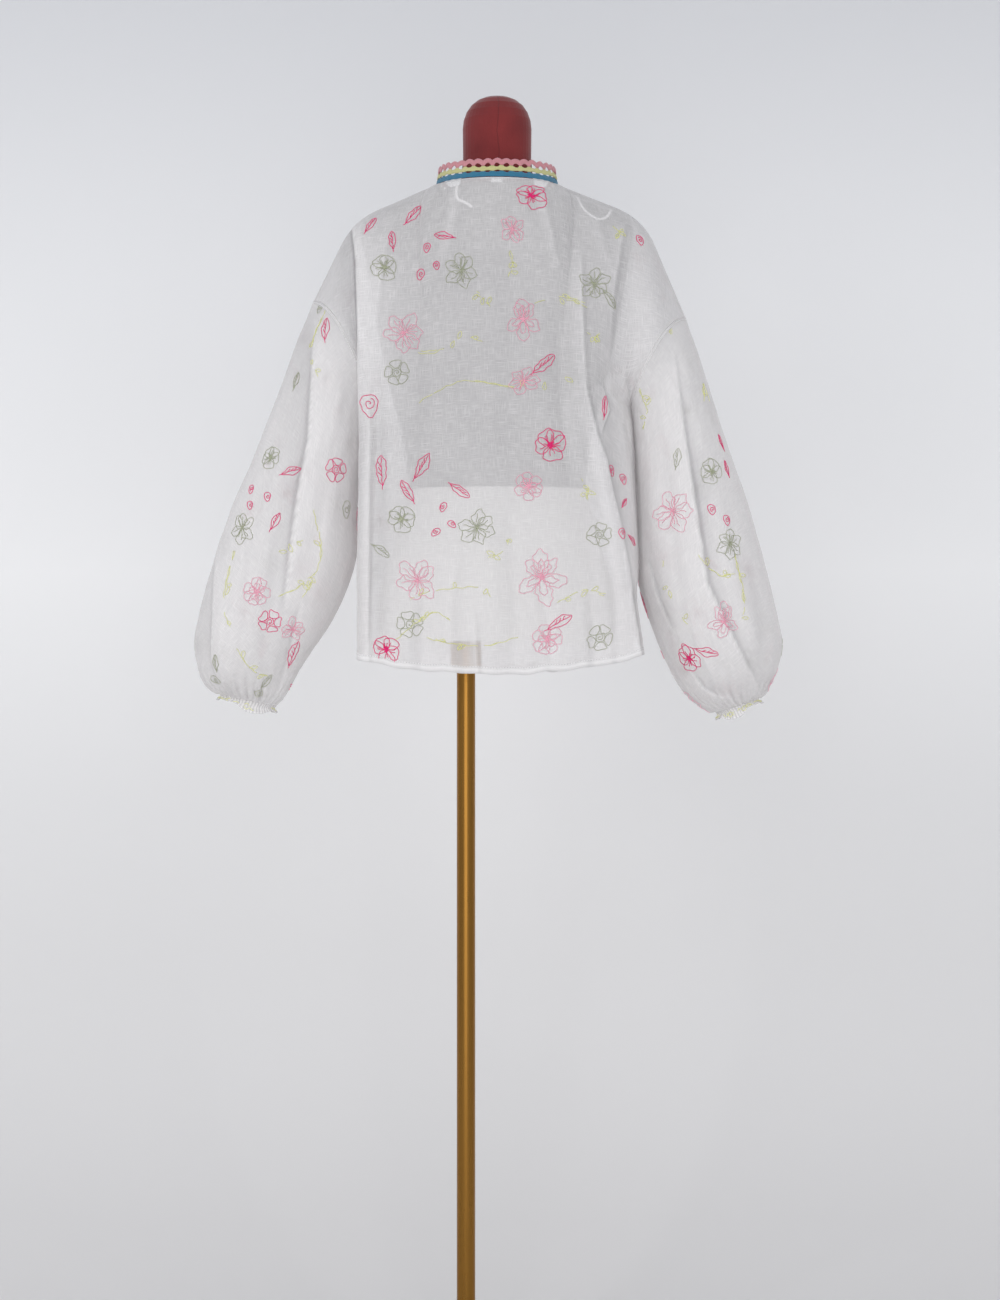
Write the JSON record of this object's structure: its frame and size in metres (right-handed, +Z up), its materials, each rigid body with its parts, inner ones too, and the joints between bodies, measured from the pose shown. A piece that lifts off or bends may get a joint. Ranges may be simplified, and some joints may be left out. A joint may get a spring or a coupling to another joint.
{
  "type": "embroidered blouse on a limbless dress form",
  "caption": "White voile folk blouse with balloon sleeves, braid collar and flower embroidery, worn by a limbless dress form on a brass pole with a round base",
  "frame": {"origin": "the middle of the base's flat underside, on the floor", "axes": "+Z up along the pole, -Y out of the blouse's back, +X to the right as seen from behind"},
  "size_m": [0.7928, 0.3, 1.7196],
  "materials": {
    "voile": "semi-sheer white cotton voile",
    "pink_thread": "bright pink embroidery thread",
    "pale_thread": "pale pink embroidery thread",
    "sage_thread": "grey-green embroidery thread",
    "vine_thread": "yellow-green embroidery thread",
    "white_thread": "white sewing thread",
    "blue_braid": "teal crochet edging",
    "yellow_braid": "pale yellow-green crochet edging",
    "pink_braid": "dusty pink crochet edging",
    "button": "pearly white",
    "form_cover": "smooth grey cover cloth",
    "neck_cover": "maroon cover cloth",
    "brass": "polished, slightly darkened",
    "base_iron": "dark enamelled"
  },
  "bodies": {
    "root": {"back_panel": "voile", "front_panel": "voile", "sleeve_left": "voile", "sleeve_right": "voile", "cuff_left": "voile", "cuff_right": "voile", "neck_label": "voile", "hanging_tape_left": "voile", "hanging_tape_right": "voile", "button_loop": "voile", "neck_button": "button", "collar_braid_blue": "blue_braid", "collar_braid_yellow": "yellow_braid", "collar_braid_pink": "pink_braid", "form_torso": "form_cover", "form_neck": "neck_cover", "pole_socket": "brass", "stand_pole": "brass", "base_collar": "brass", "stand_base": "base_iron"}
  },
  "joints": []
}
